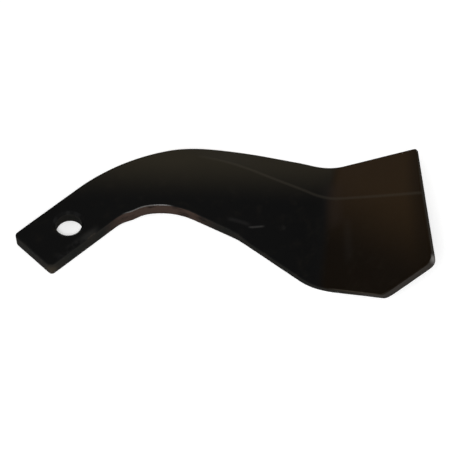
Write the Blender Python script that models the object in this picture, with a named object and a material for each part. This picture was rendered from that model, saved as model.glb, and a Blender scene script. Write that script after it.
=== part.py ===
# Rotary tiller blade, one piece of forged spring steel.
# A flat shank with a bolt hole turns edgewise through a neck into a wide leg,
# which is thinned, sharpened along its outer edge and rolled up into a scoop.
# Frame: metres, the flat back lies on z = 0, +X runs along the shank towards
# the neck and +Y across it towards the cutting edge.
# The origin is where the shank's back bears on its holder.

import bpy
import bmesh
from math import cos, exp, pi, radians, sin, sqrt, tan
from mathutils import Vector

# Shank
SHANK_WIDTH = 0.025
SHANK_THICKNESS = 0.007
END_CORNER_RADIUS = 0.0020
HOLE_DIAMETER = 0.0115
HOLE_RIM = 0.0013
HOLE_TO_END = 0.0212
HOLE_TO_SEAT = 0.012
HOLE_TO_INNER_NECK = 0.0159
HOLE_TO_OUTER_NECK = 0.0167

# Inner rail, the blunt concave edge from the neck to the tip
INNER_NECK_RADIUS = 0.0288
INNER_NECK_TURN = radians(74.2)
NECK_TO_UPSET = 0.0092
UPSET_HEIGHT = 0.0008
UPSET_SPREAD = 0.0034
NECK_TO_HEEL = 0.0234
HEEL_TURN = radians(10.8)
HEEL_RADIUS = 0.012
HEEL_TO_HOLLOW = 0.0384
HOLLOW_TURN = radians(7.5)
HOLLOW_RADIUS = 0.058
HOLLOW_TO_CUT_CORNER = 0.0468
CUT_CORNER_TURN = radians(45.3)
CUT_CORNER_RADIUS = 0.0015
CUT_CORNER_LENGTH = 0.0255
TIP_TURN = radians(81.3)
TIP_RADIUS = 0.0040

# Outer rail, the sharpened convex edge
OUTER_NECK_RADIUS = 0.0884
OUTER_NECK_TURN = radians(58.4)
OUTER_LEG_LENGTH = 0.0196
OUTER_SCOOP_TURN = radians(4.5)
OUTER_SCOOP_RADIUS = 0.117
POINT_RADIUS = 0.0015

# Thickness, edges and cutting bevel
NECK_THICKNESS = 0.0057
BLADE_THICKNESS = 0.0036
HEEL_RAMP_LENGTH = 0.012
RIDGE_RAMP_LENGTH = 0.052
EDGE_ROUND = 0.0009
SHARP_THICKNESS = 0.0018
SHARP_ROUND = 0.0004
BEVEL_START = 0.0457
BEVEL_RUN_IN = 0.041
BEVEL_WIDTH = 0.0270
BEVEL_FLARE = 0.77
BEVEL_LEAST = 0.0012

# Roll that lifts the scoop
ROLL_AXIS_ANGLE = radians(37.9)
HEEL_TO_ROLL = 0.0328
ROLL_RADIUS = 0.0245
ROLL_ANGLE = radians(40.0)

# Fineness of the mesh
CORNER_STEPS = 4
SHANK_STEPS = 4
NECK_STEPS = 22
LEG_STEPS = 10
HEEL_STEPS = 10
SCOOP_STEPS = 24
CUT_STEPS = 8
ROUND_STEPS = 3
BACK_COLUMNS = 8
FACE_COLUMNS = 7
BEVEL_COLUMNS = 3
BORE_SIDES = 64
STATION_LEAN = 0.66

HOLE_X = -HOLE_TO_SEAT
END_X = HOLE_X - HOLE_TO_END


def unit(angle):
    return Vector((cos(angle), sin(angle)))


def mix(start, end, share):
    return start + (end - start) * share


def smooth_step(value):
    value = min(max(value, 0.0), 1.0)
    return value * value * (3 - 2 * value)


def tangent_length(radius, turn):
    """How much of a straight a rounded corner of this radius takes."""
    return radius * tan(turn / 2)


class Rail:
    """An edge of the flat blank: straights and arcs, walked by its length."""

    def __init__(self, start, heading):
        self.pieces = []
        self.marks = [0.0]
        self.place = Vector(start)
        self.heading = heading
        self.length = 0.0

    def add(self, length, curvature):
        self.pieces.append((self.length, self.place, self.heading, curvature))
        self.length += length
        self.place, self.heading = self.at(self.length)

    def straight(self, length):
        self.add(length, 0.0)

    def arc(self, radius, turn):
        self.add(radius * abs(turn), (1 if turn > 0 else -1) / radius)

    def mark(self):
        self.marks.append(self.length)

    def at(self, distance):
        """Place and heading at a distance along the rail."""
        begun = [piece for piece in self.pieces if piece[0] <= distance]
        start, place, heading, curvature = begun[-1]
        along = distance - start
        if curvature == 0.0:
            return place + unit(heading) * along, heading
        turned = heading + curvature * along
        offset = Vector((sin(turned) - sin(heading), cos(heading) - cos(turned)))
        return place + offset / curvature, turned

    def crossing(self, place, angle):
        """Distance at which a line through a place, at an angle, meets the rail."""
        side = unit(angle + pi / 2)
        low, high = self.marks[1], self.length
        while high - low > 1e-7:
            middle = (low + high) / 2
            if (self.at(middle)[0] - place).dot(side) > 0:
                low = middle
            else:
                high = middle
        return low


def inner_rail():
    """Blunt edge: shank, neck, heel, hollow of the scoop, cut corner and tip."""
    heel = tangent_length(HEEL_RADIUS, HEEL_TURN)
    hollow = tangent_length(HOLLOW_RADIUS, HOLLOW_TURN)
    cut = tangent_length(CUT_CORNER_RADIUS, CUT_CORNER_TURN)
    tip = tangent_length(TIP_RADIUS, TIP_TURN)
    rail = Rail((END_X, END_CORNER_RADIUS - SHANK_WIDTH / 2), -pi / 2)
    rail.arc(END_CORNER_RADIUS, pi / 2)
    rail.mark()
    rail.straight(HOLE_TO_END + HOLE_TO_INNER_NECK - END_CORNER_RADIUS)
    rail.mark()
    rail.arc(INNER_NECK_RADIUS, -INNER_NECK_TURN)
    rail.mark()
    rail.straight(NECK_TO_HEEL - heel)
    rail.arc(HEEL_RADIUS, -HEEL_TURN)
    rail.mark()
    rail.straight(HEEL_TO_HOLLOW - heel - hollow)
    rail.mark()
    rail.arc(HOLLOW_RADIUS, HOLLOW_TURN)
    rail.straight(HOLLOW_TO_CUT_CORNER - hollow - cut)
    rail.mark()
    rail.arc(CUT_CORNER_RADIUS, CUT_CORNER_TURN)
    rail.straight(CUT_CORNER_LENGTH - cut - tip)
    rail.mark()
    rail.arc(TIP_RADIUS, TIP_TURN)
    rail.mark()
    return rail


def outer_rail(inner):
    """Cutting edge, which ends where it meets the straight line of the tip."""
    rail = Rail((END_X, SHANK_WIDTH / 2 - END_CORNER_RADIUS), pi / 2)
    rail.arc(END_CORNER_RADIUS, -pi / 2)
    rail.mark()
    rail.straight(HOLE_TO_END + HOLE_TO_OUTER_NECK - END_CORNER_RADIUS)
    rail.mark()
    rail.arc(OUTER_NECK_RADIUS, -OUTER_NECK_TURN)
    rail.straight(OUTER_LEG_LENGTH - tangent_length(OUTER_SCOOP_RADIUS, OUTER_SCOOP_TURN))
    rail.arc(OUTER_SCOOP_RADIUS, -OUTER_SCOOP_TURN)
    across_tip = unit(inner.heading + pi / 2)
    reach = (inner.place - rail.place).dot(across_tip) / unit(rail.heading).dot(across_tip)
    point_turn = rail.heading - inner.heading + pi
    rail.straight(reach - tangent_length(POINT_RADIUS, point_turn))
    # The marks between neck and tip face those of the inner rail
    neck_lean = pi / 2 - STATION_LEAN * INNER_NECK_TURN
    heel_lean = neck_lean - STATION_LEAN * HEEL_TURN
    cut_lean = (ROLL_AXIS_ANGLE + inner.heading) / 2
    facing = ((3, neck_lean), (4, heel_lean), (5, ROLL_AXIS_ANGLE), (6, cut_lean))
    rail.marks += [rail.crossing(inner.at(inner.marks[i])[0], angle) for i, angle in facing]
    rail.mark()
    rail.arc(POINT_RADIUS, -point_turn)
    rail.mark()
    return rail


INNER = inner_rail()
OUTER = outer_rail(INNER)
NECK_MARK, HEEL_MARK = INNER.marks[2], INNER.marks[4]


def thickness(distance, ramp_length):
    """Full thickness at a distance along the inner rail, thinned on a ramp at the heel."""
    share = smooth_step((distance - NECK_MARK) / (HEEL_MARK - NECK_MARK))
    neck = mix(SHANK_THICKNESS, NECK_THICKNESS, share)
    past_heel = smooth_step((distance - HEEL_MARK) / ramp_length + 0.5)
    return mix(neck, BLADE_THICKNESS, past_heel)


def upset(distance):
    """How far the edgewise bend has pushed metal out of the inner rail."""
    return UPSET_HEIGHT * exp(-((distance - NECK_MARK - NECK_TO_UPSET) / UPSET_SPREAD) ** 2)


def bevel(distance):
    """Width of the cutting bevel, and how far it has thinned the edge, 0 to 1."""
    run = distance - OUTER.marks[2] - BEVEL_START
    whole = OUTER.length - OUTER.marks[2] - BEVEL_START
    if run <= 0:
        return BEVEL_LEAST, 0.0
    width = BEVEL_WIDTH * (run / whole) ** BEVEL_FLARE
    return max(width, BEVEL_LEAST), smooth_step(run / BEVEL_RUN_IN)


def end_drop(start, end):
    """How far the rounding of an end lowers the faces at a station."""
    tip_line = unit(INNER.heading + pi / 2)
    from_shank_end = (start.x + end.x) / 2 - END_X
    from_tip = ((start + end) / 2 - INNER.place).dot(tip_line)
    depth = max(min(from_shank_end, from_tip), 0.0)
    if depth >= EDGE_ROUND:
        return 0.0
    return EDGE_ROUND - sqrt(EDGE_ROUND ** 2 - (EDGE_ROUND - depth) ** 2)


def round_corner(across, height, radius, quarter):
    """Points of a rounded edge about its centre, from one quarter turn to the next."""
    angles = [pi / 2 * (quarter + step / ROUND_STEPS) for step in range(ROUND_STEPS + 1)]
    return [(across + radius * cos(angle), height + radius * sin(angle)) for angle in angles]


def section(inner_distance, outer_distance):
    """Closed outline of the flat blank at one station, across and up."""
    start, inner_heading = INNER.at(inner_distance)
    start = start + unit(inner_heading - pi / 2) * upset(inner_distance)
    end, _ = OUTER.at(outer_distance)
    _, edge_heading = OUTER.at(min(max(outer_distance, OUTER.marks[1]), OUTER.marks[-2]))
    width = (end - start).length
    across = (end - start) / width
    side = thickness(inner_distance, HEEL_RAMP_LENGTH)
    full = thickness(inner_distance, RIDGE_RAMP_LENGTH)
    bevel_width, thinned = bevel(outer_distance)
    edge = mix(full, min(SHARP_THICKNESS, full), thinned)
    blunt = min(EDGE_ROUND, side / 3)
    keen = mix(blunt, min(SHARP_ROUND, edge / 3), thinned)
    outer = width - keen
    ridge = outer - bevel_width / across.dot(unit(edge_heading + pi / 2))
    outline = round_corner(blunt, blunt, blunt, 2)
    outline += [(mix(blunt, outer, i / BACK_COLUMNS), 0.0) for i in range(1, BACK_COLUMNS)]
    outline += round_corner(outer, keen, keen, 3)
    outline += round_corner(outer, edge - keen, keen, 0)
    for i in range(1, BEVEL_COLUMNS + 1):
        share = i / BEVEL_COLUMNS
        outline.append((mix(outer, ridge, share), mix(edge, full, share)))
    for i in range(1, FACE_COLUMNS):
        share = i / FACE_COLUMNS
        outline.append((mix(ridge, blunt, share), mix(full, side, smooth_step(share))))
    outline += round_corner(blunt, side - blunt, blunt, 1)
    shrink = end_drop(start, end) / (full / 2)
    points = []
    for along, height in outline:
        face = mix(full, edge, max(along - ridge, 0.0) / (width - ridge))
        place = start + across * along
        points.append(rolled(place, mix(height, face / 2, shrink)))
    return points


def rolled(place, height):
    """Point of the finished blade for a point of the flat blank."""
    heel = tangent_length(HEEL_RADIUS, HEEL_TURN)
    start, _ = INNER.at(HEEL_MARK + HEEL_TO_ROLL - heel)
    onward = unit(ROLL_AXIS_ANGLE - pi / 2)
    past = (place - start).dot(onward)
    if past <= 0:
        return Vector((place.x, place.y, height))
    turn = min(past / ROLL_RADIUS, ROLL_ANGLE)
    straight = past - ROLL_RADIUS * turn
    run = (ROLL_RADIUS - height) * sin(turn) + straight * cos(turn)
    rise = ROLL_RADIUS - (ROLL_RADIUS - height) * cos(turn) + straight * sin(turn)
    place = place + onward * (run - past)
    return Vector((place.x, place.y, rise))


def stations():
    """Pairs of distances along the two rails, from the shank's end to the tip."""
    steps = (CORNER_STEPS, SHANK_STEPS, NECK_STEPS, LEG_STEPS, HEEL_STEPS, SCOOP_STEPS,
             CUT_STEPS, CORNER_STEPS)
    pairs = []
    for i, count in enumerate(steps):
        for step in range(count):
            share = step / count
            pairs.append((mix(INNER.marks[i], INNER.marks[i + 1], share),
                          mix(OUTER.marks[i], OUTER.marks[i + 1], share)))
    pairs.append((INNER.marks[-1], OUTER.marks[-1]))
    return pairs


def object_from(name, mesh):
    thing = bpy.data.objects.new(name, mesh)
    bpy.context.scene.collection.objects.link(thing)
    return thing


def skin(loops):
    """Closed mesh through a row of outlines, capped at both ends."""
    shape = bmesh.new()
    rings = [[shape.verts.new(point) for point in loop] for loop in loops]
    for ring, following in zip(rings, rings[1:]):
        for i in range(len(ring)):
            shape.faces.new((ring[i - 1], ring[i], following[i], following[i - 1]))
    shape.faces.new(rings[0])
    shape.faces.new(rings[-1])
    bmesh.ops.recalc_face_normals(shape, faces=shape.faces)
    return shape


def make_blade():
    """The forged blank, thinned, bevelled and rolled."""
    shape = skin([section(*pair) for pair in stations()])
    mesh = bpy.data.meshes.new("blade")
    shape.to_mesh(mesh)
    shape.free()
    return object_from("blade", mesh)


def make_bore_cutter():
    """The bolt hole with its eased rims, as a turned solid that only cuts."""
    radius = HOLE_DIAMETER / 2
    past = HOLE_RIM
    profile = ((radius + HOLE_RIM + past, -past), (radius, HOLE_RIM),
               (radius, SHANK_THICKNESS - HOLE_RIM),
               (radius + HOLE_RIM + past, SHANK_THICKNESS + past))
    loops = []
    for ring_radius, height in profile:
        angles = [2 * pi * i / BORE_SIDES for i in range(BORE_SIDES)]
        loops.append([(HOLE_X + ring_radius * cos(a), ring_radius * sin(a), height) for a in angles])
    shape = skin(loops)
    mesh = bpy.data.meshes.new("bore_cutter")
    shape.to_mesh(mesh)
    shape.free()
    cutter = object_from("bore_cutter", mesh)
    cutter.hide_render = True
    cutter.display_type = "WIRE"
    return cutter


def make_paint():
    """Black paint on forged steel, semi-gloss."""
    paint = bpy.data.materials.new("black_paint")
    paint.use_nodes = True
    surface = paint.node_tree.nodes["Principled BSDF"]
    surface.inputs["Base Color"].default_value = (0.012, 0.011, 0.010, 1.0)
    surface.inputs["Roughness"].default_value = 0.42
    surface.inputs["Metallic"].default_value = 0.0
    return paint


for leftover in list(bpy.data.objects):
    bpy.data.objects.remove(leftover, do_unlink=True)

blade = make_blade()
blade.data.materials.append(make_paint())
bore = blade.modifiers.new("bolt_hole", "BOOLEAN")
bore.object = make_bore_cutter()
bore.operation = "DIFFERENCE"
bore.solver = "EXACT"
blade.data.shade_smooth()
blade.data.set_sharp_from_angle(angle=radians(30))
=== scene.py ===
from math import pi, radians

import bpy
import numpy as np
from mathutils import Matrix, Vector


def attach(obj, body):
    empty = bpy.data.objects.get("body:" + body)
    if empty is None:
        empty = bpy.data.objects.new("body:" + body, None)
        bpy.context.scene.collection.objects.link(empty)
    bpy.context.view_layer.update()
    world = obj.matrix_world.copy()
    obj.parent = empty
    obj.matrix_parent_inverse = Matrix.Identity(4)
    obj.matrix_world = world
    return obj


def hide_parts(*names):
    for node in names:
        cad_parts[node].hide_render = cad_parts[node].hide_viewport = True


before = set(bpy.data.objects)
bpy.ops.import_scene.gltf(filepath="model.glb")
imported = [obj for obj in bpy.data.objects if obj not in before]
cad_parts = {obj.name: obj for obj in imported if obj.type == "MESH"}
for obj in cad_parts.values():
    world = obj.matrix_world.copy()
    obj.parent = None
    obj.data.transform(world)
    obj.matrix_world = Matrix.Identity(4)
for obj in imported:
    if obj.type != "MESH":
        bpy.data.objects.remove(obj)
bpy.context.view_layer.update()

# Blade
# One bar of spring steel, bent edgewise at the neck, spread and thinned, sharpened and rolled up.
# Forging left its faces a little uneven, and the bolt hole was punched and its rims eased.

SAME_PLACE = 1e-6
RIM_ANGLE = radians(35)
HOLE_PLACE = Vector((-0.012, 0.0, 0.0))
HOLE_REACH = 0.0085
SHARP = 1.0
ROLL_START = Vector((0.0408, -0.0887, 0.0))
ROLL_ONWARD = Vector((0.6143, -0.7891, 0.0))
ROLL_RADIUS = 0.0245
ROLL_ANGLE = radians(40)
OUTWARD = np.array((0.8, 0.6, 0.0))
RIDGE_LEAN = 0.044
RIDGE_START_Y = -0.010
FACE_RISE = 0.9
FACE_FINENESS = 2
UNEVEN_DEPTH = 0.00011
UNEVEN_SPAN = 0.013


def unrolled(places, ways):
    """Places and directions as they were in the flat bar, and how far the roll turned them."""
    onward = np.array(ROLL_ONWARD)
    run = (places - np.array(ROLL_START)) @ onward
    drop = ROLL_RADIUS - places[:, 2]
    turn = np.where(run > 0, np.clip(np.arctan2(run, drop), 0, ROLL_ANGLE), 0)
    past = ROLL_RADIUS * turn + run * np.cos(turn) - drop * np.sin(turn)
    flat = places + np.outer(past - run, onward)
    flat[:, 2] = ROLL_RADIUS - (run * np.sin(turn) + drop * np.cos(turn))
    forth = ways @ onward
    rise = ways[:, 2]
    flat_ways = ways + np.outer(forth * np.cos(turn) + rise * np.sin(turn) - forth, onward)
    flat_ways[:, 2] = rise * np.cos(turn) - forth * np.sin(turn)
    return flat, flat_ways, turn


blade = bpy.data.objects.new("painted_blade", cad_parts["blade"].data.copy())
bpy.context.scene.collection.objects.link(blade)
bpy.ops.object.select_all(action="DESELECT")
blade.select_set(True)
bpy.context.view_layer.objects.active = blade
bpy.ops.mesh.customdata_custom_splitnormals_clear()
bpy.ops.object.mode_set(mode="EDIT")
bpy.ops.mesh.select_all(action="SELECT")
bpy.ops.mesh.remove_doubles(threshold=SAME_PLACE)
bpy.ops.mesh.tris_convert_to_quads(face_threshold=RIM_ANGLE, shape_threshold=RIM_ANGLE)

# The rims of the bolt hole stay crisp.

bpy.ops.mesh.select_mode(type="EDGE")
bpy.ops.mesh.select_all(action="DESELECT")
bpy.ops.mesh.edges_select_sharp(sharpness=RIM_ANGLE)
bpy.ops.object.mode_set(mode="OBJECT")
for edge in blade.data.edges:
    ends = [blade.data.vertices[i].co - HOLE_PLACE for i in edge.vertices]
    edge.select = edge.select and all(end.xy.length < HOLE_REACH for end in ends)
bpy.ops.object.mode_set(mode="EDIT")
bpy.ops.transform.edge_crease(value=SHARP)
bpy.ops.mesh.select_all(action="DESELECT")
bpy.ops.object.mode_set(mode="OBJECT")

# The cutting bevel meets the face in a crisp ridge. From the neck on, that is where a face that
# leans outwards in the flat bar meets one that doesn't.

middles = np.array([face.center for face in blade.data.polygons])
facings = np.array([face.normal for face in blade.data.polygons])
facings = unrolled(middles, facings)[1]
beside = {}
for face in blade.data.polygons:
    for key in face.edge_keys:
        beside.setdefault(key, []).append(facings[face.index])
ridge_ends = []
for edge in blade.data.edges:
    leans = [facing @ OUTWARD for facing in beside[edge.key]]
    rises = [facing[2] for facing in beside[edge.key]]
    first, last = (blade.data.vertices[i].co for i in edge.vertices)
    if min(leans) < RIDGE_LEAN < max(leans) and min(rises) > FACE_RISE and first.y < RIDGE_START_Y:
        edge.select = True
        ridge_ends.extend((tuple(first), tuple(last)))
bpy.ops.object.mode_set(mode="EDIT")
bpy.ops.transform.edge_crease(value=SHARP)
bpy.ops.object.mode_set(mode="OBJECT")

# The faces are rounded off between those edges and left slightly uneven, always inwards, so that
# the painted blade stays inside the solid one.

bpy.ops.object.modifier_add(type="SUBSURF")
blade.modifiers["Subdivision"].levels = FACE_FINENESS
blade.modifiers["Subdivision"].render_levels = FACE_FINENESS
bpy.ops.object.modifier_apply(modifier="Subdivision")
unevenness = bpy.data.textures.new("forged_unevenness", "CLOUDS")
unevenness.noise_scale = UNEVEN_SPAN
bpy.ops.object.modifier_add(type="DISPLACE")
blade.modifiers["Displace"].texture = unevenness
blade.modifiers["Displace"].texture_coords = "LOCAL"
blade.modifiers["Displace"].strength = UNEVEN_DEPTH
blade.modifiers["Displace"].mid_level = 1.0
bpy.ops.object.modifier_apply(modifier="Displace")
bpy.ops.object.shade_smooth_by_angle(angle=RIM_ANGLE)

# Scale, shear lines and wear follow the bar, so the finish is laid out on the flat bar: where a
# point lay, whether it is on a face (0) or a side (1), its share of the roll, and how far off
# the ridge it is.

points = np.array([vertex.co for vertex in blade.data.vertices])
normals = np.array([vertex.normal for vertex in blade.data.vertices])
flat, flat_normals, turn = unrolled(points, normals)
laid = blade.data.attributes.new("flat_bar", "FLOAT_VECTOR", "POINT")
laid.data.foreach_set("vector", flat.astype(np.float32).ravel())
sideways = blade.data.attributes.new("side", "FLOAT", "POINT")
sideways.data.foreach_set("value", (1 - np.abs(flat_normals[:, 2])).astype(np.float32))
rolled = blade.data.attributes.new("rolled", "FLOAT", "POINT")
rolled.data.foreach_set("value", (turn / ROLL_ANGLE).astype(np.float32))
ridge_ends = np.array(ridge_ends)
ridge_ends = unrolled(ridge_ends, ridge_ends)[0][:, :2]
gaps = []
for first, last in zip(ridge_ends[::2], ridge_ends[1::2]):
    whole = last - first
    share = np.clip((flat[:, :2] - first) @ whole / (whole @ whole), 0, 1)
    gaps.append(np.linalg.norm(flat[:, :2] - first - np.outer(share, whole), axis=1))
off_ridge = blade.data.attributes.new("off_ridge", "FLOAT", "POINT")
off_ridge.data.foreach_set("value", np.min(gaps, axis=0).astype(np.float32))


# Paint
# Black bitumen dip over scaled steel. On the front a painted reflection lightens it, grey on the neck
# towards the cutting edge and brown on the scoop. It gathered to a glossy bead on the lip of the neck,
# which also carries a painted glint. It is rubbed off the proud edges, and glints are painted on the
# tip and the shank's end corner. The back is plain black.

class Value:
    """A number in a shader. Arithmetic on it adds Math nodes."""

    def __init__(self, finish, socket):
        self.finish = finish
        self.socket = socket

    def math(self, operation, first, second=0.0):
        settings = {"operation": operation}
        return self.finish.node("ShaderNodeMath", settings, {0: first, 1: second})

    def __add__(self, other):
        return self.math("ADD", self, other)

    def __radd__(self, other):
        return self.math("ADD", other, self)

    def __sub__(self, other):
        return self.math("SUBTRACT", self, other)

    def __rsub__(self, other):
        return self.math("SUBTRACT", other, self)

    def __mul__(self, other):
        return self.math("MULTIPLY", self, other)

    def __rmul__(self, other):
        return self.math("MULTIPLY", other, self)

    def __abs__(self):
        return self.math("ABSOLUTE", self)

    def between(self, low, high):
        """0 up to low, 1 from high on, and a soft step in between."""
        sockets = {"Value": self, "From Min": low, "From Max": high}
        return self.finish.node("ShaderNodeMapRange", {"interpolation_type": "SMOOTHSTEP"}, sockets)


class Finish:
    """A material or a world, built node by node on the shader that it starts with."""

    def __init__(self, owner, shader):
        self.owner = owner
        self.owner.use_nodes = True
        self.tree = self.owner.node_tree
        self.shader = self.tree.nodes[shader]

    def feed(self, socket, value):
        if isinstance(value, Value):
            self.tree.links.new(value.socket, socket)
        else:
            socket.default_value = value

    def node(self, kind, settings=None, sockets=None, output=0):
        made = self.tree.nodes.new(kind)
        for name, setting in (settings or {}).items():
            setattr(made, name, setting)
        for name, value in (sockets or {}).items():
            self.feed(made.inputs[name], value)
        return Value(self, made.outputs[output])

    def attribute(self, name, output):
        return self.node("ShaderNodeAttribute", {"attribute_name": name}, output=output)

    def noise(self, place, span, detail, roughness):
        """Cloudy noise from 0 to 1, with lumps about as long as span, in metres."""
        sockets = {"Vector": place, "Scale": 1 / span, "Detail": detail, "Roughness": roughness}
        return self.node("ShaderNodeTexNoise", {}, sockets)

    def stretched(self, place, scales):
        return self.node("ShaderNodeVectorMath", {"operation": "MULTIPLY"}, {0: place, 1: scales})

    def along(self, place, way):
        """How far a place lies along a direction."""
        sockets = {0: place, 1: way}
        return self.node("ShaderNodeVectorMath", {"operation": "DOT_PRODUCT"}, sockets, "Value")

    def near(self, place, spot, reach):
        """1 at a spot, fading softly to 0 at its reach."""
        sockets = {0: place, 1: spot}
        distance = self.node("ShaderNodeVectorMath", {"operation": "DISTANCE"}, sockets, "Value")
        return 1 - distance.between(0.0, reach)

    def line(self, place, first, last, half_width):
        """1 on the line between two places of the flat bar, fading out to its sides and ends."""
        whole = Vector(last) - Vector(first)
        length = whole.length
        onward = whole.normalized()
        across = Vector((-onward.y, onward.x, 0.0))
        past = self.along(place, onward) - Vector(first).dot(onward)
        off = abs(self.along(place, across) - Vector(first).dot(across))
        begun = past.between(0.0, length / 4)
        ended = past.between(length * 3 / 4, length)
        return begun * (1 - ended) * (1 - off.between(0.0, half_width))

    def blended(self, under, over, share):
        """One colour laid over another. A Mix node keeps its colours in its sockets 6 and 7."""
        sockets = {0: share, 6: under, 7: over}
        return self.node("ShaderNodeMix", {"data_type": "RGBA"}, sockets, 2)

    def seen(self):
        """1 for rays that the camera, a mirror or a glass sees by, and 0 for those that light things."""
        camera_ray = self.node("ShaderNodeLightPath", output="Is Camera Ray")
        glossy_ray = self.node("ShaderNodeLightPath", output="Is Glossy Ray")
        transmission_ray = self.node("ShaderNodeLightPath", output="Is Transmission Ray")
        return camera_ray + glossy_ray + transmission_ray


BLACK_PAINT = (0.0042, 0.0042, 0.0042, 1.0)
# The scoop's brownish black and the three thin paints below are painted reflection and sheen.
SCOOP_BLACK_WITH_REFLECTION = (0.0052, 0.0032, 0.0016, 1.0)
PAINTED_NECK_SHEEN = (0.0208, 0.0180, 0.0125, 1.0)
PAINTED_SCOOP_REFLECTION = (0.0212, 0.0121, 0.0050, 1.0)
PAINTED_ROLL_SHEEN = (0.0210, 0.0155, 0.0130, 1.0)
GREY_SIDE_PAINT = (0.0125, 0.0180, 0.0165, 1.0)
SHEARED_SIDE = (0.0450, 0.0300, 0.0240, 1.0)
CUT_SIDE = (0.0550, 0.0460, 0.0420, 1.0)
# A painted highlight for the ridge line of the bevel.
RIDGE_HIGHLIGHT = (0.055, 0.048, 0.038, 1.0)
# Also the colour of a painted glint on the shank's end corner.
WORN_SCALE_AND_GLINT = (0.040, 0.033, 0.024, 1.0)
# Also the colour of painted glints on the bead and the tip, and of a painted highlight in a pit.
BARE_STEEL_AND_GLINT = (0.28, 0.27, 0.26, 1.0)

PAINT_GLOSS = 0.010
PAINT_ROUGHNESS = 0.32
MOTTLE_ROUGHENING = 0.08
SIDE_ROUGHENING = 0.35
WEAR_ROUGHENING = 0.10
BEAD_GLOSS = 0.42
LIP_GLOSS = 0.02
BEAD_ROUGHNESS = 0.18

paint = Finish(bpy.data.materials.new("black_bitumen_paint"), "Principled BSDF")
bar = paint.attribute("flat_bar", "Vector")
side = paint.attribute("side", "Fac")
roll = paint.attribute("rolled", "Fac")
from_ridge = paint.attribute("off_ridge", "Fac")

# Lumps and lines of the scale, the paint and the sheared sides.

BROAD_LUMP = 0.030
MOTTLE_LUMP = 0.007
GRAIN_LUMP = 0.0011
SHEAR_STRETCH = (60.0, 60.0, 2600.0)

broad = paint.noise(bar, BROAD_LUMP, detail=2.0, roughness=0.5)
mottle = paint.noise(bar, MOTTLE_LUMP, detail=4.0, roughness=0.6)
grain = paint.noise(bar, GRAIN_LUMP, detail=5.0, roughness=0.6)
shear_lines = paint.noise(paint.stretched(bar, SHEAR_STRETCH), 1.0, detail=3.0, roughness=0.5)

# The parts of the blade: its sides, its front, the flat of the front, the rounded lips between
# face and side, and the rolled scoop.

UP_WAY = (0.0, 0.0, 1.0)
FRONT_RISE = (0.0006, 0.0014)
SIDE_TURN = (0.35, 0.75)
FACE_TURN = (0.01, 0.10)
LIP_START = (0.02, 0.16)
LIP_END = (0.35, 0.70)
SCOOP_START = (0.55, 1.0)

on_side = side.between(*SIDE_TURN)
on_front = paint.along(bar, UP_WAY).between(*FRONT_RISE)
on_face = on_front * (1 - side.between(*FACE_TURN))
on_lip = side.between(*LIP_START) * (1 - side.between(*LIP_END))
in_scoop = roll.between(*SCOOP_START)

# Painted reflection on the front, grey on the neck and brown on the scoop, patchy and a little darker
# at the tip, and a painted reddish grey sheen where the roll starts.

NECK_SHEEN_WAY = (0.703, 0.711, 0.0)
BAR_WAY = (1.0, 0.0, 0.0)
TIP_WAY = (0.72, -0.69, 0.0)
NECK_SHEEN_RUN = (0.004, 0.033)
SCOOP_REFLECTION_RUN = (0.060, 0.097)
TIP_RUN = (0.147, 0.156)
TIP_DARKENING = 0.65
ROLL_SHEEN_LINE = ((0.0915, -0.0640, 0.0), (0.0690, -0.0905, 0.0))
ROLL_SHEEN_HALF_WIDTH = 0.0075
ROLL_SHEEN_SHARE = 0.36
LEAST_REFLECTION = 0.85
PATCHY_SPREAD = 0.3
SCALE_SHARE = 0.08
SCALE_PATCHES = (0.50, 0.80)

patchy_reflection = on_front * (LEAST_REFLECTION + PATCHY_SPREAD * broad)
neck_sheen = paint.along(bar, NECK_SHEEN_WAY).between(*NECK_SHEEN_RUN) * (1 - in_scoop) * patchy_reflection
tip_dark = 1 - TIP_DARKENING * paint.along(bar, TIP_WAY).between(*TIP_RUN)
scoop_reflection = paint.along(bar, BAR_WAY).between(*SCOOP_REFLECTION_RUN) * in_scoop * patchy_reflection * tip_dark
roll_sheen = on_front * paint.line(bar, *ROLL_SHEEN_LINE, ROLL_SHEEN_HALF_WIDTH)

# The scoop's black and the thin paints laid over it are painted reflection and sheen.
colour = paint.blended(BLACK_PAINT, SCOOP_BLACK_WITH_REFLECTION, on_front * in_scoop)
colour = paint.blended(colour, WORN_SCALE_AND_GLINT, SCALE_SHARE * mottle.between(*SCALE_PATCHES))
colour = paint.blended(colour, PAINTED_NECK_SHEEN, neck_sheen)
colour = paint.blended(colour, PAINTED_SCOOP_REFLECTION, scoop_reflection)
colour = paint.blended(colour, PAINTED_ROLL_SHEEN, ROLL_SHEEN_SHARE * roll_sheen)

# A painted highlight along the ridge of the bevel, from the leg on.

RIDGE_HIGHLIGHT_WIDTH = (0.0002, 0.0012)
RIDGE_HIGHLIGHT_RUN = (0.050, 0.066)
RIDGE_HIGHLIGHT_SHARE = 0.24

ridge_highlight = on_front * (1 - from_ridge.between(*RIDGE_HIGHLIGHT_WIDTH))
ridge_highlight = ridge_highlight * paint.along(bar, BAR_WAY).between(*RIDGE_HIGHLIGHT_RUN)
colour = paint.blended(colour, RIDGE_HIGHLIGHT, RIDGE_HIGHLIGHT_SHARE * ridge_highlight)

# The sheared sides, where the paint is greyer. It is torn off most in the bend of the neck and on
# the cut end.

NECK_BEND = (0.022, -0.021, 0.003)
BEND_REACH = 0.032
BEND_FADE = (0.0, 0.6)
CUT_MIDDLE = (0.060, -0.143, 0.001)
CUT_REACH = 0.030
CUT_FADE = (0.0, 0.5)
TORN_PATCHES = (0.70, 1.05)
GREY_SIDE_SHARE = 0.35
OFF_ALL_SIDES = 0.03
OFF_TORN_PATCHES = 0.14
OFF_IN_BEND = 0.86
OFF_ON_CUT = 0.25

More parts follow.
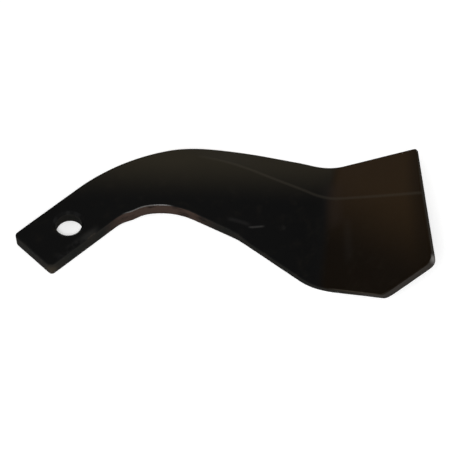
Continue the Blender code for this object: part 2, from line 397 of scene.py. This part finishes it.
torn = (mottle + shear_lines).between(*TORN_PATCHES)
by_bend = paint.near(bar, NECK_BEND, BEND_REACH).between(*BEND_FADE)
by_cut = paint.near(bar, CUT_MIDDLE, CUT_REACH).between(*CUT_FADE)
sheared_off = OFF_ALL_SIDES + OFF_TORN_PATCHES * torn + OFF_IN_BEND * by_bend * torn
sheared_off = on_side * (sheared_off + OFF_ON_CUT * by_cut)
side_colour = paint.blended(SHEARED_SIDE, CUT_SIDE, by_cut)
colour = paint.blended(colour, GREY_SIDE_PAINT, GREY_SIDE_SHARE * on_side * (1 - by_bend))
colour = paint.blended(colour, side_colour, sheared_off)

# Pale steel colour: painted glints on the bead and the tip, and a painted highlight in a pit whose dip
# is in the relief below; steel that shows through at a nick with a crease beside it and at the edge by
# the bolt hole that is handled; and a faint lighter streak down the scoop.

BEAD_PLACE = (0.0190, -0.0172, 0.0060)
BEAD_REACH = 0.0175
BEAD_FADE = (0.2, 0.6)
TIP_CORNER = (0.0745, -0.1520, 0.0022)
TIP_REACH = 0.0030
TIP_TURN = (0.05, 0.3)
NICK = ((0.0439, -0.0552, 0.0), (0.0506, -0.0603, 0.0))
NICK_HALF_WIDTH = 0.0009
CREASE = ((0.0398, -0.0456, 0.0), (0.0465, -0.0560, 0.0))
CREASE_HALF_WIDTH = 0.0018
STREAK = ((0.0790, -0.0890, 0.0), (0.0571, -0.1116, 0.0))
STREAK_HALF_WIDTH = 0.0036
PIT = (0.0556, -0.0664, 0.0035)
PIT_REACH = 0.0016
HANDLED_EDGE = ((-0.0300, -0.0110, 0.0), (-0.0020, -0.0110, 0.0))
HANDLED_HALF_WIDTH = 0.0030
HANDLED_PATCHES = (0.35, 0.60)
GLINT_ON_BEAD = 0.24
GLINT_ON_TIP = 0.5
BARE_ON_NICK = 0.08
BARE_ON_CREASE = 0.0225
STREAK_LIGHTENING = 0.00875
HIGHLIGHT_ON_PIT = 0.015
BARE_ON_HANDLED = 0.0375

# The bead mask gives the coat's real gloss and a painted glint.
bead_gloss_and_glint = on_front * on_lip * paint.near(bar, BEAD_PLACE, BEAD_REACH).between(*BEAD_FADE)
tip_glint = paint.near(bar, TIP_CORNER, TIP_REACH) * side.between(*TIP_TURN)
nick = on_face * paint.line(bar, *NICK, NICK_HALF_WIDTH)
crease = on_face * paint.line(bar, *CREASE, CREASE_HALF_WIDTH)
streak = on_face * paint.line(bar, *STREAK, STREAK_HALF_WIDTH)
pitted = on_face * paint.near(bar, PIT, PIT_REACH)
handled = on_front * (1 - on_side) * paint.line(bar, *HANDLED_EDGE, HANDLED_HALF_WIDTH)
handled = handled * mottle.between(*HANDLED_PATCHES)
bare_and_glint = GLINT_ON_BEAD * bead_gloss_and_glint + GLINT_ON_TIP * tip_glint + BARE_ON_NICK * nick + BARE_ON_CREASE * crease
bare_and_glint = bare_and_glint + STREAK_LIGHTENING * streak + HIGHLIGHT_ON_PIT * pitted + BARE_ON_HANDLED * handled
colour = paint.blended(colour, BARE_STEEL_AND_GLINT, bare_and_glint)

# Scale colour: a painted glint on the shank's end corner, paler along the lip at the heel of the
# scoop, and scale worn bare in patches along the lips.

END_CORNER = (-0.0332, -0.0125, 0.0025)
END_CORNER_REACH = 0.0050
END_CORNER_TURN = (0.1, 0.4)
SCOOP_HEEL = (0.058, -0.122, 0.001)
SCOOP_HEEL_REACH = 0.026
SCOOP_HEEL_FADE = (0.1, 0.4)
LIP_WEAR_PATCHES = (0.60, 0.74)
LIP_WEAR_GRAIN = 0.35
GLINT_ON_CORNER = 0.9
PALING_ON_HEEL = 0.7
WORN_ON_LIP = 0.5

corner_glint = paint.near(bar, END_CORNER, END_CORNER_REACH) * side.between(*END_CORNER_TURN)
# Paler along the lip at the heel of the scoop.
heel_lip_paling = on_lip * paint.near(bar, SCOOP_HEEL, SCOOP_HEEL_REACH).between(*SCOOP_HEEL_FADE)
lip_worn = on_lip * (mottle + LIP_WEAR_GRAIN * (grain - 0.5)).between(*LIP_WEAR_PATCHES)
worn_and_glint = GLINT_ON_CORNER * corner_glint + PALING_ON_HEEL * heel_lip_paling + WORN_ON_LIP * lip_worn
colour = paint.blended(colour, WORN_SCALE_AND_GLINT, worn_and_glint)

# How rough it is, and its relief in metres.

MOTTLE_RELIEF = 0.00005
GRAIN_RELIEF = 0.000012
SHEAR_RELIEF = 0.00005
PIT_DEPTH = 0.0004

roughness = PAINT_ROUGHNESS + MOTTLE_ROUGHENING * (mottle - 0.5) + SIDE_ROUGHENING * on_side
roughness = roughness + WEAR_ROUGHENING * lip_worn
relief = MOTTLE_RELIEF * mottle + GRAIN_RELIEF * grain + SHEAR_RELIEF * on_side * shear_lines
relief = relief - PIT_DEPTH * pitted
bump = paint.node("ShaderNodeBump", {}, {"Strength": 1.0, "Distance": 1.0, "Height": relief})

paint.feed(paint.shader.inputs["Base Color"], colour)
paint.feed(paint.shader.inputs["Roughness"], roughness)
paint.feed(paint.shader.inputs["Specular IOR Level"], PAINT_GLOSS)
paint.feed(paint.shader.inputs["Coat Weight"], BEAD_GLOSS * bead_gloss_and_glint + LIP_GLOSS * on_lip)
paint.feed(paint.shader.inputs["Coat Roughness"], BEAD_ROUGHNESS)
paint.feed(paint.shader.inputs["Normal"], bump)

blade.data.materials.clear()
blade.data.materials.append(paint.owner)
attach(blade, "root")
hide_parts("blade")

# Table
# A plain pale table top that the blade lies on, and that its soft shadow falls on. The lift makes
# up for the light that it lacks, so that it looks white to the camera, also far off.

TABLE_HALF = 3.0
TABLE_DROP = 0.00005
TABLE_COLOUR = (0.80, 0.80, 0.80, 1.0)
TABLE_ROUGHNESS = 0.9
TABLE_LIFT = (0.40, 0.40, 0.40, 1.0)
FAR_TABLE_LIFT = (0.76, 0.76, 0.76, 1.0)
LAMPLIT_REACH = 0.35
DIM_REACH = 1.30

bpy.ops.object.select_all(action="DESELECT")
bpy.ops.mesh.primitive_plane_add(size=2 * TABLE_HALF, location=(0.0, 0.0, -TABLE_DROP))
table = bpy.context.active_object
table.name = "table_top"
pale = Finish(bpy.data.materials.new("pale_table"), "Principled BSDF")
table_place = pale.node("ShaderNodeTexCoord", output="Object")
from_middle = pale.node("ShaderNodeVectorMath", {"operation": "LENGTH"}, {0: table_place}, "Value")
lift = pale.blended(TABLE_LIFT, FAR_TABLE_LIFT, from_middle.between(LAMPLIT_REACH, DIM_REACH))
glow = pale.node("ShaderNodeEmission", {}, {"Color": lift, "Strength": pale.seen()})
pale.feed(pale.shader.inputs["Base Color"], TABLE_COLOUR)
pale.feed(pale.shader.inputs["Roughness"], TABLE_ROUGHNESS)
pale.feed(pale.shader.inputs["Specular IOR Level"], 0.0)
added = pale.node("ShaderNodeAddShader", {}, {0: Value(pale, pale.shader.outputs[0]), 1: glow})
pale.feed(pale.tree.nodes["Material Output"].inputs["Surface"], added)
table.data.materials.append(pale.owner)

# Light
# Soft studio boxes: a key beside the camera, three weak fills that the flat faces don't mirror,
# and a small warm board close behind the neck, which they do. The room adds a plain even light,
# and is white to the camera.

BLADE_MIDDLE = Vector((0.045, -0.055, 0.010))
ROOM_LIGHT = 0.30
WHITE = (1.0, 1.0, 1.0)
WARM_WHITE = (1.0, 0.86, 0.62)
KEY_WAY = Vector((-0.426, -0.349, 0.647))
KEY_SIZE = (0.24, 0.24)
KEY_BRIGHTNESS = 22.0
RIGHT_WAY = Vector((0.80, -0.42, 0.42))
LEFT_WAY = Vector((-0.85, 0.24, 0.47))
FRONT_WAY = Vector((-0.10, -0.91, 0.40))
FILL_SIZE = (0.60, 0.40)
FILL_BRIGHTNESS = 3.0
BOARD_WAY = Vector((0.052, 0.102, 0.062))
BOARD_SIZE = (0.10, 0.045)
BOARD_BRIGHTNESS = 0.6

room = Finish(bpy.data.worlds.new("room"), "Background")
room.feed(room.shader.inputs["Color"], (*WHITE, 1.0))
room.feed(room.shader.inputs["Strength"], ROOM_LIGHT + (1 - ROOM_LIGHT) * room.seen())
bpy.context.scene.world = room.owner


def soft_box(name, way, size, brightness, colour):
    """An area lamp that looks at the blade, as bright as a white board in that many times the light."""
    light = bpy.data.lights.new(name, "AREA")
    light.shape = "RECTANGLE"
    light.size = size[0]
    light.size_y = size[1]
    light.energy = brightness * pi * size[0] * size[1]
    light.color = colour
    lamp = bpy.data.objects.new(name, light)
    bpy.context.scene.collection.objects.link(lamp)
    lamp.location = BLADE_MIDDLE + way
    lamp.rotation_euler = (-way).to_track_quat("-Z", "Y").to_euler()


soft_box("key_box", KEY_WAY, KEY_SIZE, KEY_BRIGHTNESS, WHITE)
soft_box("right_fill", RIGHT_WAY, FILL_SIZE, FILL_BRIGHTNESS, WHITE)
soft_box("left_fill", LEFT_WAY, FILL_SIZE, FILL_BRIGHTNESS, WHITE)
soft_box("front_fill", FRONT_WAY, FILL_SIZE, FILL_BRIGHTNESS, WHITE)
soft_box("back_board", BOARD_WAY, BOARD_SIZE, BOARD_BRIGHTNESS, WARM_WHITE)

# Camera
# Where the photograph was taken from, worked out from the blade's outline and its round hole.

PHOTO_SIZE = 449
FOCAL_PIXELS = 1500
SENSOR_WIDTH = 36.0
NEAREST_SEEN = 0.01
VIEW_ELEVATION = radians(51.9)
VIEW_AZIMUTH = radians(-44.65)
VIEW_PLACE = (-0.2497, -0.3383, 0.5261)

lens = bpy.data.cameras.new("photo_view")
lens.sensor_width = SENSOR_WIDTH
lens.lens = SENSOR_WIDTH * FOCAL_PIXELS / PHOTO_SIZE
lens.clip_start = NEAREST_SEEN
camera = bpy.data.objects.new("photo_view", lens)
bpy.context.scene.collection.objects.link(camera)
camera.location = VIEW_PLACE
camera.rotation_euler = (pi / 2 - VIEW_ELEVATION, 0.0, VIEW_AZIMUTH)
bpy.context.scene.camera = camera
bpy.context.scene.view_settings.view_transform = "Standard"
